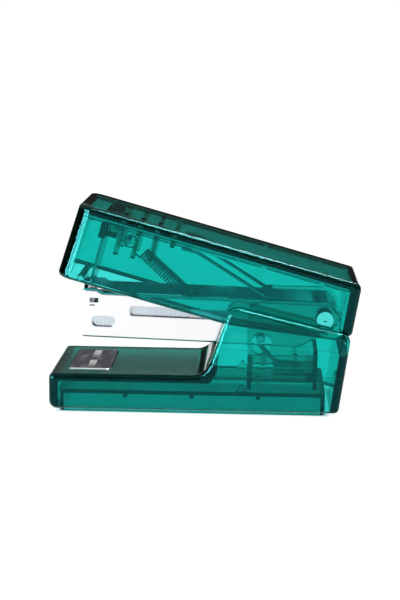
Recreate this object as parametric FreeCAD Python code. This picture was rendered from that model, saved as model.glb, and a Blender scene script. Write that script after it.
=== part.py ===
import FreeCAD, Part
import math
import os
from FreeCAD import Vector

# A small hand stapler in clear green plastic, standing open and at rest. Millimetres, +Z up.
# The mouth, where the staples come out, faces -X and the hinge is at +X; the stapler is
# symmetric about the plane y = 0. Every piece is modelled with its distance from the front
# of the base, and the whole is then set so that the origin is under the middle of the
# assembled stapler, on the surface that it stands on.
# The cover and the magazine turn on one axle. Each is modelled in a frame of its own, with
# the axle at the origin and its long side level, and is then turned to its angle at rest.
# Widths build up from the staples outwards: staples, magazine, ears, cover, housing.
# Lengths are set from two places: the hinge axle, and the blade over the staple mouth.

# ---- driving sizes: staples, and the widths around them ------------------------------
staple_half_width = 6.35
staple_height = 6.3
staple_wire = 0.5
staple_pitch = 0.53
staple_count = 38           # a part-used stick
staple_clearance = 0.1      # under the staples' legs
magazine_side_fit = 0.3     # staples to magazine wall
sheet = 0.7                 # magazine steel
ear_gap = 0.3               # magazine to ear
ear_thickness = 0.95
cover_ear_gap = 0.5         # ear to cover wall
cover_side_gap = 0.3        # cover to cheek
wall = 1.8                  # housing and cover walls

# ---- driving sizes: base -------------------------------------------------------------
base_length = 60.0          # along the bottom edge of the housing
tray_proud = 0.8            # the tray carries the housing this far above the table
deck_top = 8.4
deck_thickness = 1.8
ramp_rise = 2.1             # the deck's rear end curls up this far
ramp_setback = 24.4         # where deck and cheek lines would cross, ahead of the axle
ramp_radius = 4.0
ramp_thickness = 2.4
cheek_setback = 19.4        # sharp corner of the cheek's front and top edges, ahead of the axle
cheek_front_z = 23.2
cheek_rear_z = 17.3         # sharp corner of the cheek's top and rear edges
rear_lean = 2.3             # the rear edge leans back this far over its height
rear_wall_top = 13.0
base_edge_round = 1.0
base_corner_round = 1.7
cheek_front_round = 2.4
cheek_rear_round = 1.8
cheek_relief = 0.25         # shallow relief inside each cheek, leaving a rim
cheek_rim = 2.6

tray_plate_top = 4.8
tray_plate_thickness = 1.0
tray_skirt = 1.1
tray_clearance = 0.1
tray_end_gap = 0.9          # between the tray's rear end and the housing's rear wall
tray_rib = 0.9
tray_rib_depth = 0.7
tray_rib_spaces = 4
tray_corner = 1.5
latch_setback = 17.0
latch_height = 1.5
latch_half_length = 1.3

# ---- driving sizes: anvil ------------------------------------------------------------
anvil_front = 4.6           # front edge of the plate, ahead of the blade
anvil_length = 9.0
anvil_side = 2.35           # the plate reaches this far beyond the staples
anvil_thickness = 0.8
anvil_proud = 0.2
anvil_corner = 1.0
anvil_fit = 0.1
groove_length = 6.6         # each clinch groove, across the stapler
groove_width = 1.5
groove_depth = 0.45
groove_gap = 2.2

# ---- driving sizes: hinge ------------------------------------------------------------
pivot_setback = 3.1         # axle ahead of the base's rear end
pivot_z = 20.1
axle_radius = 1.9
running_fit = 0.05          # radial
axle_dimple_radius = 0.5
axle_socket = 1.05          # depth of the blind socket in each cover wall
ear_front_setback = 15.9
ear_rise = 3.6              # top of the ears above the axle
ear_round = 3.3
frame_rear_setback = 1.3    # rear wall of the hinge frame, ahead of the axle
frame_rear_top = 13.3
frame_shelf_top = 8.4
frame_shelf_thickness = 1.9
frame_ledge = 1.2           # the shelf beside each ear, round the open bay
frame_pad = 10.4            # the pad under the lift spring's foot starts this far ahead of the axle
frame_rib = 0.9
frame_rib_top = 12.1
frame_rib_setbacks = (12.5, 5.8)
frame_foot_gap = 0.05       # over the tray's plate
stop_window_radius = 2.2
stop_window_setback = 12.95
stop_window_drop = 5.7      # below the axle

# ---- driving sizes: cover ------------------------------------------------------------
cover_rest_angle = 15.4
cover_front_setback = 2.0   # the cover's top front corner, behind the front of the base
cover_front_lean = 0.75     # the front face's foot stands this far ahead of its top
cover_rear = 5.15           # top rear corner, behind the axle
cover_rear_lean = 1.1
cover_top = 9.2             # above the axle
cover_bottom = -6.7
cover_heel_x = -19.9        # from here the lower edge rises to the rear
cover_heel_rise_x = 2.9
cover_heel_rise_z = -3.5
cover_rear_bottom = -1.6
cover_edge_round = 1.0
cover_front_round = 2.9     # its two upright front edges, seen from above
cover_front_low_round = 1.3
cover_front_inner_round = 1.1
cover_rear_round = 1.5
rib_pitch = 3.65
rib_behind_blade = 3.4
rib_thickness = 1.0
rib_tips = (0.45, 0.65, 1.05, 5.1)
rib_inner = 3.4
rib_outer = 6.6
wall_rib_depth = 0.25
wall_rib_width = 0.9
wall_ribs = ((-15.5, -0.8), (-3.2, 3.1))   # place and lower end of each rib in a side wall
gate_mark_x = 1.8           # small moulding mark on top, behind the axle
gate_mark_radius = 0.4
gate_mark_depth = 0.35

# ---- driving sizes: driver and its springs -------------------------------------------
blade_setback = 8.2         # middle of the blade, behind the front of the base
blade_thickness = 0.5
blade_half_width = 6.3
blade_tip_z = -10.4
block_front = 0.7           # the block wraps the blade: plastic ahead of it, behind it and beside it
block_rear = 0.2
block_side = 0.6
block_fit = 0.02
block_bottom = 3.0
bracket_length = 2.1
bracket_bottom = 3.4
bracket_half_width = 5.0
arm_length = 3.6
arm_bottom = 2.0
arm_top = 5.15
arm_inner = 1.9
arm_outer = 3.1
anchor_radius = 0.5
anchor_behind_blade = 5.1
anchor_z = 3.1
strip_thickness = 0.4
strip_half_width = 3.1
strip_knee = 19.9           # behind the blade
fork_start = 16.3           # behind the blade
fork_inner = 4.2
fork_outer = 6.3
fork_toe_x = -12.8
fork_toe_z = 0.35
fork_toe_lift = 0.5
strip_rivet_radius = 0.45
strip_rivet_head = 0.8
strip_rivet_depth = 1.2

# ---- driving sizes: magazine, rail and pusher ----------------------------------------
magazine_rest_angle = 1.7
magazine_nose = 1.9         # the channel's front end, ahead of the blade
magazine_top = 3.05
shoulder_rise = 0.65        # the walls stand a little higher beside the nose plate
shoulder_length = 3.2
magazine_bottom = -6.6
magazine_rear = 3.0
nose_thickness = 0.4
nose_fit = 0.05
nose_roll_radius = 0.75
nose_roll_z = 6.0
nose_roll_leg = 0.7
exit_length = 2.4
oval_behind_front = 4.65
oval_z = -3.1
oval_length = 5.1
oval_height = 2.4
slot_behind_front = 10.1
slot_rear_x = -19.5
slot_z = -0.6
slot_height = 2.2
lance_behind_front = 2.6
lance_z = 1.35
lance_length = 1.8
lance_height = 1.0
slit_length = 1.1
slit_height = 0.35
slit_drop = 1.05
ledge_front_x = -15.2
ledge_rear_x = -8.2
ledge_top = 3.0
ledge_width = 2.4

staple_behind_blade = 0.5
rail_thickness = 0.6
rail_fit = 0.3              # staples to rail
rail_rear_x = -7.6
rail_rivet_front = 22.7     # behind the blade
rail_rivet_rear_x = -11.5
rail_rivet_radius = 0.9
rail_rivet_head = 1.5
rail_rivet_head_height = 0.35

pusher_length = 8.0
pusher_crown = 0.5
pusher_fit = 0.1            # pusher to rail and to the last staple
pusher_side_gap = 0.25
pusher_hook_height = 2.0
pusher_hook_eye = 1.05      # height of the spring's eye over the pusher
pusher_hook_thickness = 0.8
pusher_hook_half_width = 0.75

coil_outer_radius = 1.5
coil_wire = 0.4
coil_pitch = 0.66
coil_eye_radius = 1.3       # middle of the wire
coil_hook_reach = 2.4       # straight wire between the upper loop and the first turn

stop_pin_radius = 0.9
stop_pin_end_gap = 0.05
stop_pin_setback = 13.15
stop_pin_drop = 4.5

lift_spring_thickness = 0.3
lift_spring_half_width = 2.0
lift_spring_foot = 4.9      # end of the foot, ahead of the axle
lift_spring_knee = 9.4
lift_spring_tip = 16.4

# ---- sizes that follow from them -----------------------------------------------------
magazine_inner_half = staple_half_width + magazine_side_fit
magazine_half = magazine_inner_half + sheet
ear_inner = magazine_half + ear_gap
ear_outer = ear_inner + ear_thickness
cover_inner_half = ear_outer + cover_ear_gap
cover_half = cover_inner_half + wall
inner_half = cover_half + cover_side_gap
base_half = inner_half + wall

pivot_x = base_length - pivot_setback
ramp_foot_x = pivot_x - ramp_setback
ramp_top = deck_top + ramp_rise
cheek_front_x = pivot_x - cheek_setback
rear_slope = rear_lean / (cheek_rear_z - tray_proud)
ear_top = pivot_z + ear_rise
frame_rear_x = pivot_x - frame_rear_setback
ear_front_x = pivot_x - ear_front_setback

cover_front = pivot_x - cover_front_setback
cover_ceiling = cover_top - wall
blade_x = blade_setback - pivot_x
blade_front_x = blade_x - blade_thickness / 2
blade_rear_x = blade_x + blade_thickness / 2
fold_top = cover_ceiling - 0.1
fold_low = fold_top - blade_thickness
bracket_x = blade_rear_x + block_rear + block_fit
bracket_rear_x = bracket_x + bracket_length
anchor_x = blade_x + anchor_behind_blade
strip_knee_x = blade_x + strip_knee
fork_start_x = blade_x + fork_start

magazine_front = blade_x - magazine_nose
floor_top = magazine_bottom + sheet
staple_first_x = blade_x + staple_behind_blade
staple_top = floor_top + staple_clearance + staple_height
rail_half = staple_half_width - staple_wire - rail_fit
rail_top = staple_top - staple_wire - 0.15
rail_rivet_xs = (blade_x + rail_rivet_front, rail_rivet_rear_x)
strip_rear_x = staple_first_x + (staple_count - 1) * staple_pitch + staple_wire / 2
pusher_front_x = strip_rear_x + pusher_fit
pusher_hook_x = pusher_front_x + pusher_hook_thickness / 2
pusher_top = rail_top + pusher_fit + pusher_crown


# ---- shape helpers -------------------------------------------------------------------
def outline(corners):
    """A closed wire in the XZ plane through (x, z, radius) corners, rounded where radius > 0."""
    ends = []
    count = len(corners)
    for i, (x, z, radius) in enumerate(corners):
        here = Vector(x, 0, z)
        before = Vector(corners[i - 1][0], 0, corners[i - 1][1]) - here
        after = Vector(corners[(i + 1) % count][0], 0, corners[(i + 1) % count][1]) - here
        before.normalize()
        after.normalize()
        if radius == 0:
            ends.append((here, None, here))
            continue
        half = before.getAngle(after) / 2
        middle = before + after
        middle.normalize()
        centre = here + middle * (radius / math.sin(half))
        reach = radius / math.tan(half)
        ends.append((here + before * reach, centre - middle * radius, here + after * reach))
    edges = []
    for i, (start, mid, end) in enumerate(ends):
        last = ends[i - 1][2]
        if last.distanceToPoint(start) > 1e-7:
            edges.append(Part.LineSegment(last, start).toShape())
        if mid is not None:
            edges.append(Part.Arc(start, mid, end).toShape())
    return Part.Wire(edges)


def slab(corners, y0, y1):
    """The outline as a plate from y0 to y1."""
    face = Part.Face(outline(corners))
    plate = face.extrude(Vector(0, y1 - y0, 0))
    plate.translate(Vector(0, y0, 0))
    return plate


def box(x0, x1, y0, y1, z0, z1):
    return Part.makeBox(x1 - x0, y1 - y0, z1 - z0, Vector(x0, y0, z0))


def rod(radius, x, y0, y1, z):
    """A cylinder along Y."""
    return Part.makeCylinder(radius, y1 - y0, Vector(x, y0, z), Vector(0, 1, 0))


def post(radius, x, y, z0, z1):
    """A cylinder along Z."""
    return Part.makeCylinder(radius, z1 - z0, Vector(x, y, z0), Vector(0, 0, 1))


def both_sides(shape):
    """The shape and its mirror image across y = 0."""
    return [shape, shape.mirror(Vector(0, 0, 0), Vector(0, 1, 0))]


def joined(first, *others):
    return first.fuse(list(others)).removeSplitter()


def cut(shape, *tools):
    return shape.cut(list(tools))


def round_side_edges(shape, half, radius):
    """Round the outline edges of the two outer side faces."""
    edges = []
    for edge in shape.Edges:
        bounds = edge.BoundBox
        flat = bounds.YMax - bounds.YMin < 1e-6
        if flat and abs(abs(bounds.YMin) - half) < 1e-6:
            edges.append(edge)
    return shape.makeFillet(radius, edges)


def in_cover(shape):
    """From the cover's own frame to its place at rest."""
    return turned(shape, cover_rest_angle)


def in_magazine(shape):
    """From the magazine's own frame to its place at rest."""
    return turned(shape, magazine_rest_angle)


def turned(shape, angle):
    moved = shape.copy()
    moved.rotate(Vector(0, 0, 0), Vector(0, 1, 0), angle)
    moved.translate(Vector(pivot_x, 0, pivot_z))
    return moved


def base_point(x, z, angle):
    """A point of a turned frame, in the base's frame."""
    a = math.radians(angle)
    return Vector(pivot_x + x * math.cos(a) + z * math.sin(a), 0,
                  pivot_z - x * math.sin(a) + z * math.cos(a))


def rear_x(z):
    """The housing's rear edge at height z."""
    return base_length + (z - tray_proud) * rear_slope


# ---- base ----------------------------------------------------------------------------
def base_housing():
    """One moulding: front wall, deck, curled ramp, two cheeks and a low rear wall, open below."""
    shell = slab([
        (0, tray_proud, base_corner_round),
        (0, deck_top, base_edge_round + 0.1),
        (ramp_foot_x, deck_top, ramp_radius),
        (cheek_front_x, cheek_front_z, cheek_front_round),
        (rear_x(cheek_rear_z), cheek_rear_z, cheek_rear_round),
        (rear_x(tray_proud), tray_proud, base_edge_round + 0.1),
    ], -base_half, base_half)
    shell = round_side_edges(shell, base_half, base_edge_round)
    below = -1.0
    above = cheek_front_z + 5
    ramp_back_x = ramp_foot_x + ramp_thickness
    ceiling = deck_top - deck_thickness
    hollow = slab([
        (ramp_foot_x - ramp_radius, ramp_top, 0),
        (ramp_foot_x - ramp_radius, above, 0),
        (base_length + 10, above, 0),
        (base_length + 10, rear_wall_top, 0),
        (rear_x(rear_wall_top) - wall, rear_wall_top, 0),
        (rear_x(below) - wall, below, 0),
        (wall, below, 0),
        (wall, ceiling, 0.6),
        (ramp_back_x - 1.4, ceiling, 1.2),
        (ramp_back_x, ceiling + 2.4, 0.6),
        (ramp_back_x, ramp_top, 0),
    ], -inner_half, inner_half)
    plate_x = blade_setback - anvil_front
    plate_half = staple_half_width + anvil_side
    pocket = box(plate_x - anvil_fit, plate_x + anvil_length + anvil_fit,
                 -plate_half - anvil_fit, plate_half + anvil_fit,
                 deck_top + anvil_proud - anvil_thickness, deck_top + 1)
    cheek_run = cheek_front_x - ramp_foot_x
    cheek_rise = cheek_front_z - deck_top
    relief_top = cheek_front_z - 2 * cheek_rim
    relief_low = deck_top
    front_at_top = ramp_foot_x + cheek_run * (relief_top - deck_top) / cheek_rise + cheek_rim
    front_at_low = ramp_foot_x + cheek_run * (relief_low - deck_top) / cheek_rise + cheek_rim
    relief = slab([
        (front_at_low, relief_low, 1.0),
        (front_at_top, relief_top, 1.0),
        (rear_x(rear_wall_top) - wall - 0.6, rear_wall_top + 0.6, 0.5),
        (rear_x(relief_low) - wall - 0.6, relief_low, 0.5),
    ], inner_half - 0.2, inner_half + cheek_relief)
    return cut(shell, hollow, pocket, *both_sides(relief))


def bottom_tray():
    """Snap-in closing tray: a plate with a skirt, cross ribs and a latch bump on each side."""
    x0 = wall + tray_clearance
    x1 = base_length - wall - tray_end_gap
    half = inner_half - tray_clearance
    block = box(x0, x1, -half, half, 0, tray_plate_top)
    upright = [e for e in block.Edges if e.BoundBox.ZMax - e.BoundBox.ZMin > tray_plate_top / 2]
    block = block.makeFillet(tray_corner, upright)
    hollow = box(x0 + tray_skirt, x1 - tray_skirt, -half + tray_skirt, half - tray_skirt,
                 -1, tray_plate_top - tray_plate_thickness)
    tray = cut(block, hollow)
    underside = tray_plate_top - tray_plate_thickness
    step = (x1 - x0) / tray_rib_spaces
    ribs = [box(x0 + i * step - tray_rib / 2, x0 + i * step + tray_rib / 2,
                -half + tray_skirt / 2, half - tray_skirt / 2,
                underside - tray_rib_depth, underside + tray_plate_thickness / 2)
            for i in range(1, tray_rib_spaces)]
    latch_x = pivot_x - latch_setback
    latch = slab([
        (latch_x - latch_half_length, tray_plate_top - 0.2, 0),
        (latch_x, tray_plate_top + latch_height, 0.25),
        (latch_x + latch_half_length, tray_plate_top - 0.2, 0),
    ], half - 1.2, half)
    return joined(tray, *ribs, *both_sides(latch))


def anvil_plate():
    """Pressed steel plate with two clinch grooves."""
    top = deck_top + anvil_proud
    half = staple_half_width + anvil_side
    x0 = blade_setback - anvil_front
    x1 = x0 + anvil_length
    plate = box(x0, x1, -half, half, top - anvil_thickness, top)
    upright = [e for e in plate.Edges if e.BoundBox.ZMax - e.BoundBox.ZMin > anvil_thickness / 2]
    plate = plate.makeFillet(anvil_corner, upright)
    groove_radius = (groove_length ** 2 / 4 + groove_depth ** 2) / (2 * groove_depth)
    grooves = []
    for side in (-1, 1):
        y = side * (groove_gap / 2 + groove_length / 2)
        wheel = Part.makeCylinder(groove_radius, groove_width,
                                  Vector(blade_setback - groove_width / 2, y,
                                         top + groove_radius - groove_depth),
                                  Vector(1, 0, 0))
        grooves.append(wheel)
    plate = cut(plate, *grooves)
    rim = [e for e in plate.Edges if e.BoundBox.ZMin > top - 1e-6
           and (e.BoundBox.XMin < x0 + anvil_corner + 1e-6
                or e.BoundBox.XMax > x1 - anvil_corner - 1e-6)]
    return plate.makeChamfer(0.2, rim)


def hinge_frame():
    """Inner moulding: two ears that carry the axle, joined by a shelf with short ribs."""
    shelf_low = frame_shelf_top - frame_shelf_thickness
    ear_rear_low_x = frame_rear_x - frame_rib
    ear = slab([
        (ear_front_x, shelf_low, 0),
        (ear_front_x, ear_top - 1.4, 1.8),
        (ear_front_x + 4.0, ear_top, 2.6),
        (pivot_x, ear_top, 0),
        (pivot_x, pivot_z, 0),
        (pivot_x - 1.6, pivot_z - ear_round + 0.4, 0),
        (ear_rear_low_x - 0.5, frame_rear_top + 0.6, 1.0),
        (ear_rear_low_x, shelf_low, 0),
    ], ear_inner, ear_outer)
    disc = rod(ear_top - pivot_z - 0.05, pivot_x, ear_inner, ear_outer, pivot_z)
    ear = joined(ear, disc)
    hole = rod(axle_radius + running_fit, pivot_x, ear_inner - 1, ear_outer + 1, pivot_z)
    window = rod(stop_window_radius, pivot_x - stop_window_setback, ear_inner - 1, ear_outer + 1,
                 pivot_z - stop_window_drop)
    ear = cut(ear, hole, window)
    foot = tray_plate_top + frame_foot_gap
    shelf = box(ear_front_x, frame_rear_x, -ear_outer, ear_outer, shelf_low, frame_shelf_top)
    bay_y = ear_inner - frame_ledge
    bay_x = ear_front_x + frame_ledge
    bay = box(bay_x, pivot_x - frame_pad, -bay_y, bay_y, shelf_low - 1, frame_shelf_top + 1)
    side_bay = box(bay_x, ear_rear_low_x - frame_ledge, lift_spring_half_width + 0.5, bay_y,
                   shelf_low - 1, frame_shelf_top + 1)
    shelf = cut(shelf, bay, *both_sides(side_bay))
    rear = box(ear_rear_low_x, frame_rear_x, -ear_outer, ear_outer, foot, frame_rear_top)
    front = box(ear_front_x, ear_front_x + frame_rib, -ear_outer, ear_outer,
                foot, frame_shelf_top)
    ribs = []
    for setback in frame_rib_setbacks:
        x = pivot_x - setback
        rib = box(x - frame_rib / 2, x + frame_rib / 2, ear_inner - frame_ledge - 0.6,
                  ear_inner + ear_thickness / 2, shelf_low + 0.4, frame_rib_top)
        ribs += both_sides(rib)
    return joined(shelf, rear, front, *both_sides(ear), *ribs)


def lift_spring():
    """Leaf that holds the magazine up off the deck, its foot on the frame's shelf."""
    t = lift_spring_thickness
    under = base_point(-lift_spring_tip, magazine_bottom, magazine_rest_angle).z - 0.05
    foot = frame_shelf_top
    foot_x = pivot_x - lift_spring_foot
    knee_x = pivot_x - lift_spring_knee
    tip_x = pivot_x - lift_spring_tip
    leaf = slab([
        (foot_x, foot, 0),
        (foot_x, foot + t, 0),
        (knee_x, foot + t, 2.0),
        (tip_x + 1.6, under, 1.2),
        (tip_x, under - 0.9, 0),
        (tip_x + 0.25, under - 0.9 - t, 0),
        (tip_x + 1.7, under - t - 0.1, 0.6),
        (knee_x - 0.1, foot, 2.0),
    ], -lift_spring_half_width, lift_spring_half_width)
    return leaf


def hinge_axle():
    """Axle shared by the cover and the magazine, with a moulding dimple in each end."""
    half = cover_inner_half + axle_socket - 0.1
    axle = rod(axle_radius, pivot_x, -half, half, pivot_z)
    rims = [e for e in axle.Edges if e.BoundBox.YMax - e.BoundBox.YMin < 1e-6]
    axle = axle.makeChamfer(0.2, rims)
    dimples = both_sides(rod(axle_dimple_radius, pivot_x, half - 0.7, half + 1, pivot_z))
    return cut(axle, *dimples)


# ---- magazine ------------------------------------------------------------------------
def magazine_channel():
    """Bright steel channel, open on top, with windows in its walls and ledges for the fork."""
    half = magazine_half
    side = [
        (magazine_front, magazine_bottom, 0.8),
        (magazine_front, magazine_top + shoulder_rise, 0.4),
        (magazine_front + shoulder_length, magazine_top + shoulder_rise, 0.6),
        (magazine_front + shoulder_length + 1.2, magazine_top, 0.6),
        (1.0, magazine_top, 1.5),
        (magazine_rear, 1.0, 1.5),
        (magazine_rear, -1.6, 0.8),
        (-5.0, magazine_bottom, 2.0),
    ]
    block = slab(side, -half, half)
    lower = [e for e in block.Edges
             if abs(e.BoundBox.ZMin - magazine_bottom) < 1e-6 and abs(e.BoundBox.ZMax - magazine_bottom) < 1e-6
             and e.BoundBox.XMax - e.BoundBox.XMin > 10]
    block = block.makeFillet(0.6, lower)
    inside = box(magazine_front - 1, magazine_rear + 1, -magazine_inner_half, magazine_inner_half,
                 floor_top, magazine_top + 1)
    exit_slot = box(magazine_front - 1, magazine_front + exit_length, -magazine_inner_half,
                    magazine_inner_half, magazine_bottom - 1, floor_top + 0.01)
    heel = box(-6.0, magazine_rear + 1, -magazine_inner_half, magazine_inner_half,
               magazine_bottom - 1, floor_top + 0.01)
    through = half + 1
    oval_x = magazine_front + oval_behind_front
    slot_front_x = magazine_front + slot_behind_front
    lance_x = magazine_front + lance_behind_front
    slit_z = lance_z - slit_drop
    oval = slab([
        (oval_x - oval_length / 2, oval_z - oval_height / 2, oval_height / 2 - 0.01),
        (oval_x - oval_length / 2, oval_z + oval_height / 2, oval_height / 2 - 0.01),
        (oval_x + oval_length / 2, oval_z + oval_height / 2, oval_height / 2 - 0.01),
        (oval_x + oval_length / 2, oval_z - oval_height / 2, oval_height / 2 - 0.01),
    ], -through, through)
    slot = slab([
        (slot_front_x, slot_z - slot_height / 2, 0.7),
        (slot_front_x, slot_z + slot_height / 2, 0.7),
        (slot_rear_x, slot_z + slot_height / 2, 0.7),
        (slot_rear_x, slot_z - slot_height / 2, 0.7),
    ], -through, through)
    lance = box(lance_x - lance_length / 2, lance_x + lance_length / 2, -through, through,
                lance_z - lance_height / 2, lance_z + lance_height / 2)
    slit_x = lance_x - lance_length / 2
    slit = box(slit_x, slit_x + slit_length, -through, through,
               slit_z - slit_height / 2, slit_z + slit_height / 2)
    axle_hole = rod(axle_radius + running_fit, 0, -through, through, 0)
    pin = stop_pin_place()
    pin_hole = rod(stop_pin_radius, pin.x, -through, through, pin.z)
    channel = cut(block, inside, exit_slot, heel, oval, slot, lance, slit, axle_hole, pin_hole,
                  *rail_rivet_holes())
    ledge = box(ledge_front_x, ledge_rear_x, magazine_inner_half - ledge_width,
                magazine_inner_half + sheet / 2, ledge_top - sheet, ledge_top)
    return in_magazine(joined(channel, *both_sides(ledge)))


def stop_pin_place():
    """The stop pin's centre in the magazine's own frame."""
    a = math.radians(magazine_rest_angle)
    dx = -stop_pin_setback
    dz = -stop_pin_drop
    return Vector(dx * math.cos(a) - dz * math.sin(a), 0, dx * math.sin(a) + dz * math.cos(a))


def nose_plate():
    """Front guide plate between the channel's walls, its upper edge rolled forward."""
    x0 = magazine_front + 0.02
    x1 = x0 + nose_thickness
    low = magazine_bottom + 0.15
    half = magazine_inner_half - nose_fit
    plate = box(x0, x1, -half, half, low, nose_roll_z)
    roll_x = x1 - nose_roll_radius
    roll = rod(nose_roll_radius, roll_x, -half, half, nose_roll_z)
    bore = rod(nose_roll_radius - nose_thickness, roll_x, -half - 1, half + 1, nose_roll_z)
    below = box(roll_x - 2, roll_x + 2, -half - 1, half + 1, nose_roll_z - 2, nose_roll_z)
    leg_x = roll_x - nose_roll_radius
    leg = box(leg_x, leg_x + nose_thickness, -half, half, nose_roll_z - nose_roll_leg, nose_roll_z)
    return in_magazine(joined(plate, cut(roll, bore, below), leg))


def staple_rail():
    """Inner rail that the staples straddle: a folded steel channel, open below."""
    x0 = staple_first_x - 0.1
    low = floor_top + 0.01
    block = box(x0, rail_rear_x, -rail_half, rail_half, low, rail_top)
    upper = [e for e in block.Edges if e.BoundBox.ZMin > rail_top - 1e-6
             and e.BoundBox.XMax - e.BoundBox.XMin > 10]
    block = block.makeFillet(0.5, upper)
    hollow = box(x0 - 1, rail_rear_x + 1, -rail_half + rail_thickness, rail_half - rail_thickness,
                 low + rail_thickness, rail_top - rail_thickness)
    return in_magazine(cut(block, hollow, *rail_rivet_holes()))


def rail_rivet_holes():
    return [post(rail_rivet_radius, x, 0, magazine_bottom - 1, floor_top + rail_thickness + 0.5)
            for x in rail_rivet_xs]


def rail_rivets():
    """Two rivets that hold the rail down on the channel's floor."""
    rivets = []
    for x in rail_rivet_xs:
        shank = post(rail_rivet_radius, x, 0, magazine_bottom, floor_top + rail_thickness + 0.02)
        top = floor_top + rail_thickness + 0.01
        head = post(rail_rivet_head, x, 0, top, top + rail_rivet_head_height)
        foot = post(rail_rivet_head, x, 0, magazine_bottom - rail_rivet_head_height, magazine_bottom)
        rims = [e for e in head.Edges if e.BoundBox.ZMin > top + rail_rivet_head_height - 1e-6]
        head = head.makeChamfer(rail_rivet_head_height * 0.6, rims)
        rims = [e for e in foot.Edges if e.BoundBox.ZMax < magazine_bottom - rail_rivet_head_height + 1e-6]
        foot = foot.makeChamfer(rail_rivet_head_height * 0.6, rims)
        rivets.append(joined(shank, head, foot))
    return in_magazine(Part.makeCompound(rivets))


def stop_pins():
    """A stud in each magazine wall; it moves in the round window of the ear beside it."""
    outer = ear_outer - stop_pin_end_gap
    pin = rod(stop_pin_radius, pivot_x - stop_pin_setback, magazine_inner_half, outer,
              pivot_z - stop_pin_drop)
    rims = [e for e in pin.Edges if e.BoundBox.YMin > outer - 1e-6]
    return Part.makeCompound(both_sides(pin.makeChamfer(0.15, rims)))


def pusher():
    """Follower that rides over the rail and holds the staples forward, with the spring's eye."""
    x0 = pusher_front_x
    x1 = x0 + pusher_length
    half = magazine_inner_half - pusher_side_gap
    low = floor_top + 0.35
    leg_inner = rail_half + 0.15
    block = box(x0, x1, -half, half, low, pusher_top)
    upper = [e for e in block.Edges if e.BoundBox.ZMin > pusher_top - 1e-6
             and e.BoundBox.XMax - e.BoundBox.XMin > pusher_length / 2]
    block = block.makeFillet(0.4, upper)
    hollow = box(x0 - 1, x1 + 1, -leg_inner, leg_inner, low - 1, rail_top + pusher_fit)
    step = slab([
        (x0 + 3.2, pusher_top - pusher_crown / 2, 0.1),
        (x0 + 3.2, pusher_top + 1, 0),
        (x1 + 1, pusher_top + 1, 0),
        (x1 + 1, pusher_top - pusher_crown / 2, 0),
    ], -half - 1, half + 1)
    hook = slab([
        (x0, pusher_top - 0.3, 0),
        (x0, pusher_top + pusher_hook_height, 0.35),
        (x0 + pusher_hook_thickness, pusher_top + pusher_hook_height, 0.35),
        (x0 + pusher_hook_thickness, pusher_top - 0.3, 0),
    ], -pusher_hook_half_width, pusher_hook_half_width)
    return in_magazine(joined(cut(block, hollow, step), hook))


def staple_strip():
    """A part-used stick of staples, each a separate bent wire, legs down over the rail."""
    outer = staple_half_width
    inner = outer - staple_wire
    low = floor_top + staple_clearance
    top = staple_top
    corners = [(-outer, low), (-outer, top), (outer, top), (outer, low),
               (inner, low), (inner, top - staple_wire), (-inner, top - staple_wire), (-inner, low)]
    staples = []
    for i in range(staple_count):
        x = staple_first_x + i * staple_pitch - staple_wire / 2
        loop = Part.makePolygon([Vector(x, y, z) for y, z in corners + corners[:1]])
        staples.append(Part.Face(loop).extrude(Vector(staple_wire, 0, 0)))
    return in_magazine(Part.makeCompound(staples))


# ---- cover ---------------------------------------------------------------------------
def top_cover():
    """Pressing cover: a deep shell open below, with a comb of ribs under its top."""
    shell = slab([
        (-cover_front - cover_front_lean, cover_bottom, 0),
        (-cover_front, cover_top, 0),
        (cover_rear, cover_top, cover_rear_round),
        (cover_rear + cover_rear_lean, cover_rear_bottom, cover_edge_round + 0.1),
        (cover_heel_rise_x, cover_heel_rise_z, 4.0),
        (cover_heel_x, cover_bottom, 20.0),
    ], -cover_half, cover_half)
    tall = cover_top - cover_bottom - 1
    upright = [e for e in shell.Edges if e.BoundBox.ZLength > tall and e.BoundBox.XMax < 1 - cover_front]
    shell = shell.makeFillet(cover_front_round, upright)
    rims = []
    for edge in shell.Edges:
        bounds = edge.BoundBox
        across = bounds.XMax < cover_front_round + 0.1 - cover_front and bounds.ZLength < 1e-6
        beside = bounds.YLength < 1e-6 and abs(abs(bounds.YMin) - cover_half) < 1e-6
        if across or (beside and bounds.ZLength < tall):
            rims.append(edge)
    shell = shell.makeFillet(cover_edge_round, rims)
    below = cover_bottom - 5
    front_slope = cover_front_lean / (cover_top - cover_bottom)
    front_low = -cover_front - cover_front_lean + wall - (cover_bottom - below) * front_slope
    rear_slope_c = cover_rear_lean / (cover_top - cover_rear_bottom)
    rear_low = cover_rear + cover_rear_lean - wall + (cover_rear_bottom - below) * rear_slope_c
    hollow = slab([
        (front_low, below, 0),
        (-cover_front + wall, cover_ceiling, 0.5),
        (cover_rear - wall, cover_ceiling, 0.5),
        (rear_low, below, 0),
    ], -cover_inner_half, cover_inner_half)
    corners = [e for e in hollow.Edges if e.BoundBox.ZLength > tall and e.BoundBox.XMax < 1 + wall - cover_front]
    hollow = hollow.makeFillet(cover_front_inner_round, corners)
    socket = rod(axle_radius + running_fit, 0, -cover_inner_half - axle_socket,
                 cover_inner_half + axle_socket, 0)
    gate_mark = post(gate_mark_radius, gate_mark_x, 0, cover_top - gate_mark_depth, cover_top + 1)
    shell = cut(shell, hollow, socket, gate_mark)
    ribs = []
    for i, tip in enumerate(rib_tips):
        x = blade_x + rib_behind_blade + i * rib_pitch
        rib = box(x - rib_thickness / 2, x + rib_thickness / 2, rib_inner, rib_outer,
                  tip, cover_ceiling + 0.3)
        ribs += both_sides(rib)
    for x, low in wall_ribs:
        rib = box(x, x + wall_rib_width, cover_inner_half - wall_rib_depth,
                  cover_inner_half + 0.3, low, cover_ceiling + 0.3)
        ribs += both_sides(rib)
    return in_cover(joined(shell, *ribs))


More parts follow.
